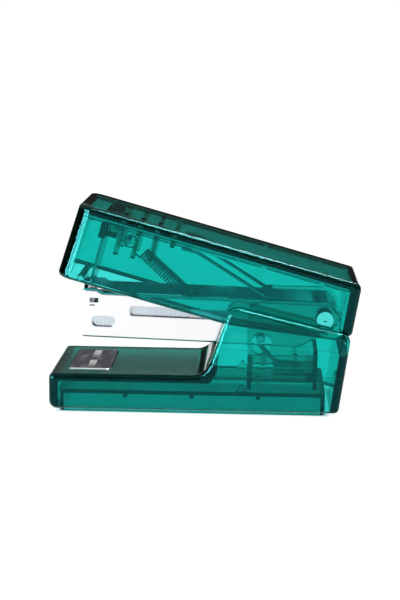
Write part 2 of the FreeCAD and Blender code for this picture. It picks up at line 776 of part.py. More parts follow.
def driver_blade():
    """Steel blade that drives one staple out, its upper edge folded back under the cover."""
    blade = slab([
        (blade_front_x, blade_tip_z, 0),
        (blade_front_x, fold_top, 0.6),
        (bracket_rear_x, fold_top, 0),
        (bracket_rear_x, fold_low, 0),
        (blade_rear_x, fold_low, 0.1),
        (blade_rear_x, blade_tip_z, 0),
    ], -blade_half_width, blade_half_width)
    # the folded flange is narrower than the blade, so it passes between the halves of the comb
    trims = both_sides(box(blade_rear_x + block_rear, bracket_rear_x + 1, bracket_half_width,
                           blade_half_width + 1, fold_low - 0.5, fold_top + 1))
    return in_cover(cut(blade, *trims))


def blade_block():
    """Black block moulded round the top of the blade, just under its fold."""
    half = blade_half_width + block_side
    block = box(blade_front_x - block_front, blade_rear_x + block_rear, -half, half,
                block_bottom, fold_low - block_fit)
    lower = [e for e in block.Edges if e.BoundBox.ZMax < block_bottom + 1e-6
             and e.BoundBox.YMax - e.BoundBox.YMin > half]
    block = block.makeFillet(block_rear, lower)
    way = box(blade_front_x - block_fit, blade_rear_x + block_fit, -blade_half_width - block_fit,
              blade_half_width + block_fit, block_bottom - 1, cover_top)
    return in_cover(cut(block, way))


def anchor_bracket():
    """Clear bracket behind the block, with two arms that hold the spring strip and the anchor."""
    body = box(bracket_x, bracket_rear_x, -bracket_half_width, bracket_half_width,
               bracket_bottom, fold_low - block_fit)
    upright = [e for e in body.Edges if e.BoundBox.ZMax - e.BoundBox.ZMin > 1]
    body = body.makeFillet(0.3, upright)
    arm = slab([
        (bracket_rear_x - 0.5, arm_bottom + 1.5, 0),
        (bracket_rear_x - 0.5, arm_top, 0),
        (bracket_rear_x + arm_length, arm_top, 0.4),
        (bracket_rear_x + arm_length, arm_bottom, 0.6),
        (bracket_rear_x + 1.2, arm_bottom, 0.6),
    ], arm_inner, arm_outer)
    pin_hole = rod(anchor_radius, anchor_x, -arm_outer - 1, arm_outer + 1, anchor_z)
    rivet_holes = [post(strip_rivet_radius, x, y, arm_top - strip_rivet_depth, arm_top + 1)
                   for x, y in strip_rivet_places()]
    slot = box(bracket_rear_x - 0.9, bracket_rear_x + 1, -strip_half_width - 0.1,
               strip_half_width + 0.1, arm_top, arm_top + strip_thickness + 0.1)
    return in_cover(cut(joined(body, *both_sides(arm)), pin_hole, slot, *rivet_holes))


def strip_rivet_places():
    middle = (arm_inner + arm_outer) / 2
    x = bracket_rear_x + 1.4
    return [(x, -middle), (x, middle)]


def strip_rivets():
    """Two small rivets through the spring strip into the bracket's arms."""
    rivets = []
    low = arm_top - strip_rivet_depth
    top = arm_top + strip_thickness
    for x, y in strip_rivet_places():
        shank = post(strip_rivet_radius, x, y, low, top + 0.01)
        head = post(strip_rivet_head, x, y, top, top + 0.3)
        rims = [e for e in head.Edges if e.BoundBox.ZMin > top + 0.3 - 1e-6]
        rivets.append(joined(shank, head.makeChamfer(0.15, rims)))
    return in_cover(Part.makeCompound(rivets))


def return_spring():
    """Forked spring steel strip: it pushes the cover up off the magazine's ledges."""
    x0 = bracket_rear_x - 0.8
    low = arm_top
    top = low + strip_thickness
    tongue = box(x0, fork_start_x + 1.0, -strip_half_width, strip_half_width, low, top)
    yoke = box(fork_start_x, strip_knee_x - 1.5, -fork_outer, fork_outer, low, top)
    t = strip_thickness
    leg = slab([
        (strip_knee_x - 2.0, low, 0),
        (strip_knee_x - 2.0, top, 0),
        (strip_knee_x, top, 3.0),
        (fork_toe_x, fork_toe_z + t, 1.2),
        (fork_toe_x + 1.3, fork_toe_z + t + fork_toe_lift, 0),
        (fork_toe_x + 1.4, fork_toe_z + fork_toe_lift + 0.02, 0),
        (fork_toe_x, fork_toe_z, 1.6),
        (strip_knee_x, low, 3.4),
    ], fork_inner, fork_outer)
    strip = joined(tongue, yoke, *both_sides(leg))
    holes = [post(strip_rivet_radius, x, y, low - 1, top + 1) for x, y in strip_rivet_places()]
    return in_cover(cut(strip, *holes))


def spring_anchor():
    """Steel pin across the bracket's arms; the pusher spring hooks over it."""
    half = arm_outer + 0.1
    pin = rod(anchor_radius, anchor_x, -half, half, anchor_z)
    rims = [e for e in pin.Edges if e.BoundBox.YMax - e.BoundBox.YMin < 1e-6]
    return in_cover(pin.makeChamfer(0.1, rims))


def pusher_spring():
    """Tension spring from the anchor to the pusher: a long hook, close turns and a lower eye."""
    upper = base_point(anchor_x, anchor_z, cover_rest_angle)
    lower = base_point(pusher_hook_x, pusher_top + pusher_hook_eye, magazine_rest_angle)
    along = lower - upper
    wire = coil_wire / 2
    mean = coil_outer_radius - wire
    bore = mean - wire * 0.6
    upper_eye = coil_eye_radius - wire - anchor_radius - 0.1
    start = upper_eye + coil_eye_radius + coil_hook_reach
    end = along.Length - coil_eye_radius + wire / 2
    turns = int((end - start) / coil_pitch)
    pitch = (end - start) / turns
    edges = []
    for i in range(turns):
        z = start + i * pitch
        edges.append(Part.Arc(Vector(mean, 0, z), Vector(mean + wire, 0, z + pitch / 2),
                              Vector(mean, 0, z + pitch)).toShape())
    corners = [Vector(mean, 0, end), Vector(bore, 0, end), Vector(bore, 0, start), Vector(mean, 0, start)]
    for first, second in zip(corners, corners[1:]):
        edges.append(Part.LineSegment(first, second).toShape())
    coil = Part.Face(Part.Wire(edges)).revolve(Vector(0, 0, 0), Vector(0, 0, 1), 360)
    loop = Part.makeTorus(coil_eye_radius, wire, Vector(0, 0, upper_eye), Vector(0, 1, 0))
    eye = Part.makeTorus(coil_eye_radius, wire, Vector(0, 0, along.Length), Vector(1, 0, 0))
    hook_end = start - coil_hook_reach
    shank_x = mean - wire / 2
    shank = Part.makeCylinder(wire, coil_hook_reach + coil_wire, Vector(shank_x, 0, hook_end))
    bend = Part.makeCylinder(wire, shank_x, Vector(0, 0, hook_end + wire / 4), Vector(1, 0, 0))
    spring = coil.fuse([loop, eye, shank, bend])
    spring.rotate(Vector(0, 0, 0), Vector(0, 1, 0), math.degrees(math.atan2(along.x, along.z)))
    spring.translate(upper)
    return spring


# ---- assembly ------------------------------------------------------------------------
PIECES = (
    base_housing, bottom_tray, anvil_plate, hinge_frame, lift_spring, hinge_axle,
    magazine_channel, nose_plate, staple_rail, rail_rivets, stop_pins, staple_strip, pusher,
    top_cover, driver_blade, blade_block, anchor_bracket, strip_rivets, return_spring,
    spring_anchor, pusher_spring,
)


def main():
    shapes = {make.__name__: make() for make in PIECES}
    bounds = Part.makeCompound([shapes["base_housing"], shapes["top_cover"], shapes["bottom_tray"]])
    bounds = bounds.optimalBoundingBox(False, False)
    middle = (bounds.XMin + bounds.XMax) / 2
    os.makedirs("parts", exist_ok=True)
    for name, shape in shapes.items():
        shape.translate(Vector(-middle, 0, 0))
        solids = shape.Solids
        volume = sum(solid.Volume for solid in solids)
        print(f"{name:18s} solids {len(solids):3d}  valid {shape.isValid()}  volume {volume:9.2f} mm3")
        shape.exportStep(f"parts/{name}.step")
    print(f"origin is {middle:.3f} mm behind the front of the base")
    print(f"axle at x {pivot_x - middle:.3f}, z {pivot_z:.3f}")
    print(f"overall {bounds.XLength:.2f} x {bounds.YLength:.2f} x {bounds.ZMax:.2f} mm")


main()
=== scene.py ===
"""Looks of a small hand stapler in clear blue-green plastic, built around its fixed frame.

The frame gives every piece its place. This file gives each piece its finish, and models the
pieces whose shape a plain solid can't show, such as the wound spring. Lengths are in
millimetres unless a docstring says otherwise.
"""

import logging
import math
from dataclasses import dataclass
from enum import Enum

import bpy
from mathutils import Matrix, Quaternion, Vector


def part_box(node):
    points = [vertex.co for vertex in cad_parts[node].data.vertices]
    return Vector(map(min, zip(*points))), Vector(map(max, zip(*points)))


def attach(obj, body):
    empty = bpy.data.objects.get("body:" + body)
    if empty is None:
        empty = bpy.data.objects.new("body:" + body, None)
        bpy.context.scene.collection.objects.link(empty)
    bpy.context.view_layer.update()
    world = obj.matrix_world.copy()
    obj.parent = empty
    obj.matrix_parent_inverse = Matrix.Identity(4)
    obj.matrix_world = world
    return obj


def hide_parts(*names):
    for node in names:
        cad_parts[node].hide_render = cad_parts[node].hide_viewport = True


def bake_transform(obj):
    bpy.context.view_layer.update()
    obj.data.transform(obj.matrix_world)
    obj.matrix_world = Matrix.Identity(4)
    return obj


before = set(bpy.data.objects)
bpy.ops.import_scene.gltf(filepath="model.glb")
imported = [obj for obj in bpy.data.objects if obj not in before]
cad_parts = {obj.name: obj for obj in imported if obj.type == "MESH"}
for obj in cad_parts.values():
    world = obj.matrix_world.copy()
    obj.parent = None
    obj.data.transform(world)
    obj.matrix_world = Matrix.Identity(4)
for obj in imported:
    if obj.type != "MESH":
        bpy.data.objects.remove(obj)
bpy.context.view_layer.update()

LOG = logging.getLogger("stapler")
MM = 0.001

Colour = tuple[float, float, float]
Point = tuple[float, float, float]
WHITE: Colour = (1.0, 1.0, 1.0)


class Body(str, Enum):
    """The rigid bodies that pieces ride on."""

    BASE = "base"
    MAGAZINE = "magazine"
    PUSHER = "pusher"
    COVER = "cover"


class Slot(str, Enum):
    """The record's material slots."""

    BASE = "green_clear_base"
    TRAY = "green_clear_tray"
    FRAME = "green_clear_frame"
    COVER = "green_clear_cover"
    AXLE = "axle_steel"
    BRACKET = "bracket_clear"
    ANVIL = "anvil_steel"
    MAGAZINE = "magazine_steel"
    SPRING = "spring_steel"
    COIL = "coil_steel"
    RIVET = "rivet_steel"
    STAPLE = "staple_steel"
    PUSHER = "pusher_steel"
    BLACK = "black_plastic"


# ---- shader maths --------------------------------------------------------------------
class Value:
    """An output socket, with arithmetic that adds Math nodes."""

    def __init__(self, nodes: "Nodes", socket: bpy.types.NodeSocket) -> None:
        """Wrap one output socket of the given tree."""
        self.nodes = nodes
        self.socket = socket

    def _math(self, operation: str, *terms: "Value | float") -> "Value":
        """Add a Math node.

        Args:
            operation: the Math node's operation.
            terms: its inputs in order.

        Returns:
            The node's output as a Value.
        """
        inputs = dict(enumerate(terms))
        return self.nodes.node("ShaderNodeMath", {"operation": operation}, inputs)

    def __add__(self, other: "Value | float") -> "Value":
        """Return self + other."""
        return self._math("ADD", self, other)

    def __radd__(self, other: float) -> "Value":
        """Return other + self."""
        return self._math("ADD", other, self)

    def __sub__(self, other: "Value | float") -> "Value":
        """Return self - other."""
        return self._math("SUBTRACT", self, other)

    def __rsub__(self, other: float) -> "Value":
        """Return other - self."""
        return self._math("SUBTRACT", other, self)

    def __mul__(self, other: "Value | float") -> "Value":
        """Return self * other."""
        return self._math("MULTIPLY", self, other)

    def __rmul__(self, other: float) -> "Value":
        """Return other * self."""
        return self._math("MULTIPLY", other, self)

    def over(self, limit: float) -> "Value":
        """Return 1 where self is more than the limit, else 0."""
        return self._math("GREATER_THAN", self, limit)

    @staticmethod
    def least(first: "Value", *others: "Value") -> "Value":
        """Return the smallest of some values."""
        for other in others:
            first = first._math("MINIMUM", first, other)
        return first

    def clipped(self, low: float, high: float) -> "Value":
        """Return self kept between low and high."""
        return self._math("MINIMUM", self._math("MAXIMUM", self, low), high)


class Nodes:
    """A node tree, built from an empty start."""

    def __init__(self, tree: bpy.types.NodeTree, output_kind: str) -> None:
        """Empty the tree and give it its output node."""
        self.tree = tree
        self.tree.nodes.clear()
        self.output = self.tree.nodes.new(output_kind)

    def add(self, kind: str, settings: dict | None = None,
            inputs: dict | None = None) -> bpy.types.Node:
        """Add a node, apply its settings, then fill its sockets.

        Args:
            kind: the node's type name.
            settings: attributes to set first; a ramp's stops go under "stops".
            inputs: socket name or index to a plain value or a Value.

        Returns:
            The new node.
        """
        node = self.tree.nodes.new(kind)
        for name, value in (settings or {}).items():
            if name == "stops":
                self._set_stops(node.color_ramp, value)
            else:
                setattr(node, name, value)
        for key, value in (inputs or {}).items():
            if isinstance(value, Value):
                self.tree.links.new(value.socket, node.inputs[key])
            else:
                node.inputs[key].default_value = value
        return node

    def node(self, kind: str, settings: dict | None = None, inputs: dict | None = None,
             out: str | int = 0) -> Value:
        """Add a node and return one of its outputs as a Value."""
        return Value(self, self.add(kind, settings, inputs).outputs[out])

    def send(self, source: Value, end: str = "Surface") -> None:
        """Link a shader to the tree's output."""
        self.tree.links.new(source.socket, self.output.inputs[end])

    @staticmethod
    def _set_stops(ramp: bpy.types.ColorRamp, stops: list[tuple[float, Colour]]) -> None:
        """Give a colour ramp its stops, each a position and a colour."""
        while len(ramp.elements) < len(stops):
            ramp.elements.new(1.0)
        for element, (position, colour) in zip(ramp.elements, stops):
            element.position = position
            element.color = (*colour, 1.0)


@dataclass(frozen=True)
class Grain:
    """One fractal noise: cycles per millimetre, octaves, and how it is stretched and turned."""

    scale: float
    detail: float = 2.0
    roughness: float = 0.5
    stretch: Point = (1.0, 1.0, 1.0)
    turn: Point = (0.0, 0.0, 0.0)


class Shader(Nodes):
    """One material's node tree."""

    def __init__(self, name: str) -> None:
        """Make the material and its output node."""
        self.material = bpy.data.materials.new(name)
        self.material.use_nodes = True
        super().__init__(self.material.node_tree, "ShaderNodeOutputMaterial")

    def place(self, scale: Point = (1.0, 1.0, 1.0), turn: Point = (0.0, 0.0, 0.0)) -> Value:
        """Return the piece's own coordinates, in millimetres, turned and scaled."""
        own = self.node("ShaderNodeTexCoord", out="Object")
        per_mm = tuple(factor / MM for factor in scale)
        return self.node("ShaderNodeMapping", {"vector_type": "POINT"},
                         {"Vector": own, "Rotation": turn, "Scale": per_mm})

    def height(self) -> Value:
        """Return how far a point lies above the piece's origin."""
        return self.node("ShaderNodeSeparateXYZ", None, {"Vector": self.place()}, out="Z")

    def within(self, area: tuple[float, float, float, float], soft: float) -> Value:
        """Return 1 inside a rectangle of X and Y limits, fading out over soft."""
        split = self.add("ShaderNodeSeparateXYZ", None, {"Vector": self.place()})
        x, y = Value(self, split.outputs["X"]), Value(self, split.outputs["Y"])
        left, right, near, far = area
        share = Value.least(x - left, right - x, y - near, far - y)
        return (share * (1.0 / soft)).clipped(0.0, 1.0)

    def noise(self, grain: Grain) -> Value:
        """Return fractal noise from 0 to 1."""
        return self.node("ShaderNodeTexNoise", None, {
            "Vector": self.place(grain.stretch, grain.turn),
            "Scale": grain.scale,
            "Detail": grain.detail,
            "Roughness": grain.roughness,
        })

    def mix(self, share: "Value | float", first: "Value | Colour",
            second: "Value | Colour") -> Value:
        """Return a colour between two others."""
        ends = [end if isinstance(end, Value) else (*end, 1.0) for end in (first, second)]
        return self.node("ShaderNodeMix", {"data_type": "RGBA"},
                         {"Factor": share, 6: ends[0], 7: ends[1]}, out=2)

    def bump(self, height: Value, distance: float) -> Value:
        """Return a normal from a height; distance is how far a height of 1 stands up."""
        return self.node("ShaderNodeBump", None,
                         {"Height": height, "Distance": distance * MM, "Strength": 1.0})

    def surface(self, **inputs: "Value | float | tuple") -> None:
        """Add the Principled shader, its spaces written as underscores, and link it out."""
        named = {name.replace("_", " "): value for name, value in inputs.items()}
        self.send(self.node("ShaderNodeBsdfPrincipled", None, named))


# ---- finishes ------------------------------------------------------------------------
@dataclass(frozen=True)
class ClearPlastic:
    """Tinted clear moulding: real refraction, with the tint held by the depth of plastic.

    A face level with satin_at gets the matt grain of a spark-eroded tool.
    """

    name: str
    density: float = 1740.0
    colour: Colour = (0.0, 0.868, 0.842)
    gleam: Colour = (0.1, 0.8, 0.84)
    refraction: float = 1.5
    streak: Colour = (0.955, 0.99, 0.985)
    streaks: Grain = Grain(0.16, 3.0, stretch=(0.35, 1.0, 1.0))
    roughness: float = 0.045
    roughest: float = 0.1
    wear: float = 0.01
    wear_contrast: float = 3.0
    wear_from: float = 0.55
    scuffs: Grain = Grain(2.4, 4.0, 0.65, (0.5, 2.5, 2.5), (0.0, 0.35, 0.3))
    ripple: float = 0.0001
    swell: Grain = Grain(0.55, 1.0)
    satin_at: float | None = None
    satin_band: float = 0.06
    satin: float = 0.24
    satin_spread: float = 0.08
    satin_height: float = 0.8
    matt: Grain = Grain(5.0)

    def build(self) -> bpy.types.Material:
        """Return the material."""
        s = Shader(self.name)
        handling = (s.noise(self.scuffs) - self.wear_from) * self.wear_contrast
        rough = (handling * self.wear + self.roughness).clipped(self.roughness, self.roughest)
        relief = s.noise(self.swell)
        if self.satin_at is not None:
            height = s.height()
            below = 1.0 - height.over(self.satin_at + self.satin_band)
            level = height.over(self.satin_at - self.satin_band) * below
            grain = s.noise(self.matt)
            least = self.satin - self.satin_spread / 2
            rough = rough + level * (grain * self.satin_spread + least)
            relief = relief + level * grain * self.satin_height
        s.surface(
            Base_Color=s.mix(s.noise(self.streaks), self.streak, WHITE),
            Roughness=rough,
            Normal=s.bump(relief, self.ripple),
            Transmission_Weight=1.0,
            IOR=self.refraction,
            Specular_Tint=(*self.gleam, 1.0),
        )
        tint = {"Color": (*self.colour, 1.0), "Density": self.density}
        s.send(s.node("ShaderNodeVolumeAbsorption", None, tint), "Volume")
        return s.material


@dataclass(frozen=True)
class PlatedSteel:
    """Sheet steel, plated: bright, with fine rolling lines along the strip and soft stains.

    least_rough and line_rough are shares of the roughness.
    """

    name: str
    light: Colour = (0.885, 0.89, 0.905)
    dark: Colour = (0.82, 0.825, 0.845)
    roughness: float = 0.16
    line_height: float = 0.0016
    lines: Grain = Grain(9.0, 3.0, 0.6, (0.06, 1.0, 1.0))
    stain: Grain = Grain(0.22, 4.0)
    least_rough: float = 0.7
    line_rough: float = 0.6

    @classmethod
    def tempered(cls, name: str) -> "PlatedSteel":
        """Return the finish of a spring strip."""
        return cls(name, (0.42, 0.44, 0.46), (0.30, 0.32, 0.35), 0.25)

    def build(self) -> bpy.types.Material:
        """Return the material."""
        s = Shader(self.name)
        lines = s.noise(self.lines)
        s.surface(
            Base_Color=s.mix(s.noise(self.stain), self.dark, self.light),
            Metallic=1.0,
            Roughness=self.roughness * self.least_rough + lines * self.roughness * self.line_rough,
            Normal=s.bump(lines, self.line_height),
        )
        return s.material


@dataclass(frozen=True)
class AnvilSteel:
    """Dark pressed plate, blotchy with oil; points lower than painted_glint_below get a painted
    glint: near white, and smoother.
    """

    name: str
    painted_glint_below: float
    light: Colour = (0.62, 0.62, 0.74)
    dark: Colour = (0.10, 0.10, 0.15)
    # painted glint: the near-white colour painted on the lowest faces
    painted_glint: Colour = (0.95, 0.95, 0.96)
    blotches: Grain = Grain(0.55, 4.0, 0.6, (1.0, 0.3, 1.0))
    blotch_from: float = 0.48
    blotch_contrast: float = 5.0
    fine: Grain = Grain(6.0, 3.0)
    fine_height: float = 0.004
    smoothest: float = 0.1
    spread: float = 0.16
    polish: float = 0.5

    def build(self) -> bpy.types.Material:
        """Return the material."""
        s = Shader(self.name)
        blotch = s.noise(self.blotches)
        oil = ((blotch - self.blotch_from) * self.blotch_contrast).clipped(0.0, 1.0)
        fine = s.noise(self.fine)
        # painted glint: points below painted_glint_below are painted near white and made smoother
        bright = 1.0 - s.height().over(self.painted_glint_below)
        s.surface(
            Base_Color=s.mix(bright, s.mix(oil, self.dark, self.light), self.painted_glint),
            Metallic=1.0,
            Roughness=(fine * self.spread + self.smoothest) * (1.0 - bright * self.polish),
            Normal=s.bump(fine, self.fine_height),
        )
        return s.material


@dataclass(frozen=True)
class DullPlastic:
    """Opaque moulded plastic with a fine spark-eroded texture."""

    name: str
    light: Colour = (0.03, 0.032, 0.035)
    dark: Colour = (0.012, 0.013, 0.015)
    roughness: float = 0.42
    spread: float = 0.18
    texture: Grain = Grain(7.0)
    texture_height: float = 0.012

    def build(self) -> bpy.types.Material:
        """Return the material."""
        s = Shader(self.name)
        grain = s.noise(self.texture)
        s.surface(
            Base_Color=s.mix(grain, self.dark, self.light),
            Roughness=grain * self.spread + (self.roughness - self.spread / 2),
            Normal=s.bump(grain, self.texture_height),
        )
        return s.material


@dataclass(frozen=True)
class PaleTable:
    """The plain pale table, which gives off light except under the stapler.

    There it glows a dark teal instead, a painted shadow, as the clear base would otherwise be lit
    from below.
    """

    name: str = "pale_table"
    glow: float = 0.96
    light: Colour = (0.93, 0.93, 0.93)
    dark: Colour = (0.90, 0.90, 0.90)
    footprint: tuple[float, float, float, float] = (-31.0, 26.5, -12.0, 12.0)
    footprint_fade: float = 1.5
    # painted shadow: the dark teal that the table glows with under the stapler
    painted_shadow: Colour = (0.01, 0.29, 0.27)
    cloud: Grain = Grain(0.02)
    roughness: float = 0.6

    def build(self) -> bpy.types.Material:
        """Return the material."""
        s = Shader(self.name)
        # painted shadow: the glow fades from white to dark teal inside the stapler's footprint
        painted_shadow_mask = s.within(self.footprint, self.footprint_fade)
        s.surface(
            Base_Color=s.mix(s.noise(self.cloud), self.dark, self.light),
            Roughness=self.roughness,
            Specular_IOR_Level=0.0,
            Emission_Color=s.mix(painted_shadow_mask, WHITE, self.painted_shadow),
            Emission_Strength=self.glow,
        )
        return s.material


# ---- modelling -----------------------------------------------------------------------
class Bench:
    """Hand tools: selection, copying a frame piece, and finishing one."""

    MERGE = 0.0004
    SMOOTH_BELOW = 32.0

    @staticmethod
    def clear() -> None:
        """Deselect everything."""
        for other in bpy.context.selected_objects:
            other.select_set(False)

    @classmethod
    def only(cls, piece: bpy.types.Object) -> None:
        """Select one object and make it the active one."""
        cls.clear()
        piece.select_set(True)
        bpy.context.view_layer.objects.active = piece

    @classmethod
    def smooth(cls, piece: bpy.types.Object, degrees: float = SMOOTH_BELOW) -> None:
        """Shade rounded stretches smooth and keep edges sharper than this angle."""
        cls.only(piece)
        bpy.ops.object.shade_smooth_by_angle(angle=math.radians(degrees))

    @classmethod
    def settle(cls, piece: bpy.types.Object) -> None:
        """Move a piece's place into its mesh."""
        cls.only(piece)
        bpy.ops.object.transform_apply(location=True, rotation=True, scale=True)

    @classmethod
    def apply(cls, piece: bpy.types.Object, kind: str, settings: dict) -> None:
        """Add a modifier with these settings and apply it."""
        cls.only(piece)
        modifier = piece.modifiers.new(kind.lower(), kind)
        for name, value in settings.items():
            setattr(modifier, name, value)
        bpy.ops.object.modifier_apply(modifier=modifier.name)

    @classmethod
    def twin(cls, node: str, name: str) -> bpy.types.Object:
        """Copy a frame piece with its loose triangles joined, so that it can be shaded smooth.

        Args:
            node: the frame piece.
            name: the new piece's name.

        Returns:
            The new piece, not yet riding on a body.
        """
        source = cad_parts[node]
        piece = bpy.data.objects.new(name, source.data.copy())
        bpy.context.scene.collection.objects.link(piece)
        cls.only(piece)
        bpy.ops.mesh.customdata_custom_splitnormals_clear()
        bpy.ops.object.mode_set(mode="EDIT")
        bpy.ops.mesh.select_all(action="SELECT")
        bpy.ops.mesh.remove_doubles(threshold=cls.MERGE * MM)
        bpy.ops.object.mode_set(mode="OBJECT")
        cls.smooth(piece)
        cls.apply(piece, "WEIGHTED_NORMAL", {"keep_sharp": True})
        return piece

    @staticmethod
    def dress(piece: bpy.types.Object, material: bpy.types.Material) -> None:
        """Give a piece one material all over."""
        piece.data.materials.clear()
        piece.data.materials.append(material)

    @classmethod
    def stand_in(cls, node: str, name: str, body: Body, slot: Slot,
                 material: bpy.types.Material) -> bpy.types.Object:
        """Put a finished copy in a frame piece's place, riding on a body.

        Args:
            node: the frame piece.
            name: the new piece's name.
            body: the body that it rides on.
            slot: its material slot in the record; not used.
            material: its finish.

        Returns:
            The new piece.
        """
        piece = cls.twin(node, name)
        cls.dress(piece, material)
        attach(piece, body.value)
        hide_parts(node)
        return piece


@dataclass
class Shells:
    """The clear mouldings: housing, tray, hinge frame and cover."""

    base: ClearPlastic = ClearPlastic("clear_base", satin_at=8.4)
    tray: ClearPlastic = ClearPlastic("clear_tray")
    inner: ClearPlastic = ClearPlastic("clear_frame")
    cover: ClearPlastic = ClearPlastic("clear_cover")

    def build(self) -> list[bpy.types.Object]:
        """Return the four mouldings, each in place of its frame piece."""
        rows = (
            ("base_housing", "housing", Body.BASE, Slot.BASE, self.base),
            ("bottom_tray", "tray", Body.BASE, Slot.TRAY, self.tray),
            ("hinge_frame", "hinge_bracket", Body.BASE, Slot.FRAME, self.inner),
            ("top_cover", "cover", Body.COVER, Slot.COVER, self.cover),
        )
        return [Bench.stand_in(*row, finish.build()) for *row, finish in rows]


@dataclass
class Steel:
    """The sheet and wire pieces that keep their shape."""

    bright: PlatedSteel = PlatedSteel("bright_plate")
    grey: PlatedSteel = PlatedSteel("grey_plate", (0.62, 0.63, 0.66), (0.48, 0.49, 0.52), 0.28)
    wire: PlatedSteel = PlatedSteel("staple_wire", (0.60, 0.67, 0.72), (0.50, 0.56, 0.61), 0.22)
    strip: PlatedSteel = PlatedSteel.tempered("tempered_strip")
    plate: AnvilSteel = AnvilSteel("anvil_plate_finish", painted_glint_below=8.585)

    def build(self) -> list[bpy.types.Object]:
        """Return the steel pieces, each in place of its frame piece."""
        bright = self.bright.build()
        grey = self.grey.build()
        wire = self.wire.build()
        strip = self.strip.build()
        plate = self.plate.build()
        rows = (
            ("magazine_channel", "magazine", Body.MAGAZINE, Slot.MAGAZINE, bright),
            ("nose_plate", "nose", Body.MAGAZINE, Slot.MAGAZINE, bright),
            ("staple_rail", "rail", Body.MAGAZINE, Slot.MAGAZINE, bright),
            ("rail_rivets", "rail_rivet_pair", Body.MAGAZINE, Slot.RIVET, grey),
            ("stop_pins", "stop_pin_pair", Body.MAGAZINE, Slot.RIVET, grey),
            ("staple_strip", "staples", Body.MAGAZINE, Slot.STAPLE, wire),
            ("pusher", "follower", Body.PUSHER, Slot.PUSHER, grey),
            ("driver_blade", "blade", Body.COVER, Slot.SPRING, strip),
            ("strip_rivets", "strip_rivet_pair", Body.COVER, Slot.RIVET, grey),
            ("spring_anchor", "anchor_pin", Body.COVER, Slot.RIVET, grey),
            ("anvil_plate", "anvil", Body.BASE, Slot.ANVIL, plate),
        )
        return [Bench.stand_in(*row) for row in rows]


@dataclass
class Leaves:
    """Leaf springs, kept in the shape of their frame pieces."""

    finish: PlatedSteel = PlatedSteel.tempered("leaf_strip")
    knee_along: float = 0.5
    knee_up: float = 0.75

    def build(self) -> list[bpy.types.Object]:
        """Return the forked return spring and the lift spring."""
        strip = self.finish.build()
        low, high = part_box("return_spring")
        size = high - low
        toe = Vector((high.x, 0, low.z))
        knee = Vector((low.x + size.x * self.knee_along, 0, low.z + size.z * self.knee_up))
        fork = self.leaf("return_spring", "fork_spring", strip, Body.COVER, (knee, toe))
        low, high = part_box("lift_spring")
        foot, head = Vector((high.x, 0, low.z)), Vector((low.x, 0, high.z))
        lift = self.leaf("lift_spring", "lift_leaf", strip, Body.BASE, (foot, head))
        return [fork, lift]

    @staticmethod
    def leaf(node: str, name: str, strip: bpy.types.Material, root: Body,
             bend: tuple[Vector, Vector]) -> bpy.types.Object:
        """Make one leaf, which goes from its root's body over to the magazine.

        Args:
            node: the frame piece.
            name: the new piece's name.
            strip: its finish.
            root: the body that its fixed end rides on; not used.
            bend: where the bending starts and where it ends; not used.

        Returns:
            The leaf, in the frame piece's place.
        """
        piece = Bench.twin(node, name)
        Bench.dress(piece, strip)
        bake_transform(piece)
        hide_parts(node)
        return piece


